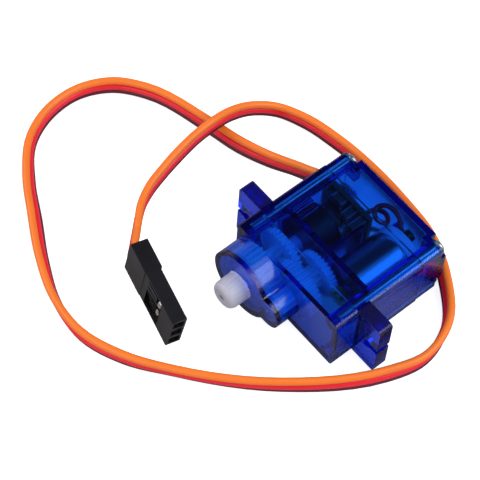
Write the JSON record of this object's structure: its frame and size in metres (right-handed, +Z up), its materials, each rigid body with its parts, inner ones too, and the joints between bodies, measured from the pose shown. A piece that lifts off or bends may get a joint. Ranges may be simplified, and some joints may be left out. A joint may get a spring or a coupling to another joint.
{
  "type": "hobby servo motor",
  "caption": "Micro hobby servo in a clear blue case with mounting ears, white splined output shaft, gear train, motor and a flat orange, red and brown lead.",
  "frame": {"origin": "middle of the servo's box, lead left out, on the table under its wide side", "axes": "+X from the shaft-end wall to the motor-end wall, -Y along the output shaft, +Z up from the wide side it lies on"},
  "size_m": [0.0726, 0.0559, 0.0118],
  "materials": {
    "clear_blue_plastic": "clear blue, polished",
    "screw_steel": "zinc plated",
    "pin_steel": "ground",
    "core_steel": "laminated",
    "can_steel": "plated",
    "white_nylon": "milky white",
    "brass": "plain",
    "copper_wire": "enamelled copper",
    "magnet_black": "dark ferrite or carbon",
    "black_plastic": "black",
    "track_carbon": "carbon track",
    "tinned_metal": "tin plated",
    "green_board": "dark green solder mask",
    "cable_orange": "orange wire, satin",
    "cable_red": "red wire, satin",
    "connector_black": "black"
  },
  "bodies": {
    "housing": {"top_cover": "clear_blue_plastic", "middle_case": "clear_blue_plastic", "bottom_cover": "clear_blue_plastic", "case_screws": "screw_steel", "idler_pin": "pin_steel", "motor_can": "can_steel", "motor_magnets": "magnet_black", "motor_bushes": "brass", "motor_end_cap": "white_nylon", "motor_terminals": "brass", "motor_brushes": "magnet_black", "pot_housing": "black_plastic", "pot_track": "track_carbon", "pot_pins": "tinned_metal", "circuit_board": "green_board", "controller_chip": "black_plastic", "board_parts": "tinned_metal", "lead_tails": "cable_red", "motor_wire_red": "cable_red", "motor_wire_black": "black_plastic", "terminal_sleeves": "black_plastic", "ribbon_cable": "cable_orange", "lead_ends": "cable_orange", "connector_housing": "connector_black", "connector_contacts": "tinned_metal"},
    "output_shaft": {"output_gear": "white_nylon", "pot_shaft": "white_nylon", "pot_wiper": "brass"},
    "third_wheel": {"third_gear": "white_nylon"},
    "second_wheel": {"second_gear": "white_nylon"},
    "first_wheel": {"first_gear": "white_nylon"},
    "rotor": {"motor_pinion": "brass", "motor_shaft": "pin_steel", "motor_armature": "core_steel", "motor_windings": "copper_wire", "motor_commutator": "brass"}
  },
  "joints": [
    {"name": "output_turn", "type": "hinge", "parent": "housing", "child": "output_shaft", "pos_m": [-0.0055, 0, 0.0059], "axis": [0, -1, 0], "range_deg": [-90, 90]},
    {"name": "third_wheel_turn", "type": "hinge", "parent": "housing", "child": "third_wheel", "pos_m": [0.0005, 0, 0.0059], "axis": [0, -1, 0], "range_deg": [-270, 270]},
    {"name": "second_wheel_turn", "type": "hinge", "parent": "housing", "child": "second_wheel", "pos_m": [-0.0055, 0, 0.0059], "axis": [0, -1, 0], "range_deg": [-810, 810]},
    {"name": "first_wheel_turn", "type": "hinge", "parent": "housing", "child": "first_wheel", "pos_m": [0.0005, 0, 0.0059], "axis": [0, -1, 0], "range_deg": [-2430, 2430]},
    {"name": "rotor_spin", "type": "hinge", "parent": "housing", "child": "rotor", "pos_m": [0.0055, 0, 0.0059], "axis": [0, -1, 0], "range_deg": [-8370, 8370]}
  ],
  "couplings": [
    {"joint": "third_wheel_turn", "follows": "output_turn", "ratio": -3},
    {"joint": "second_wheel_turn", "follows": "output_turn", "ratio": 9},
    {"joint": "first_wheel_turn", "follows": "output_turn", "ratio": -27},
    {"joint": "rotor_spin", "follows": "output_turn", "ratio": 93}
  ]
}
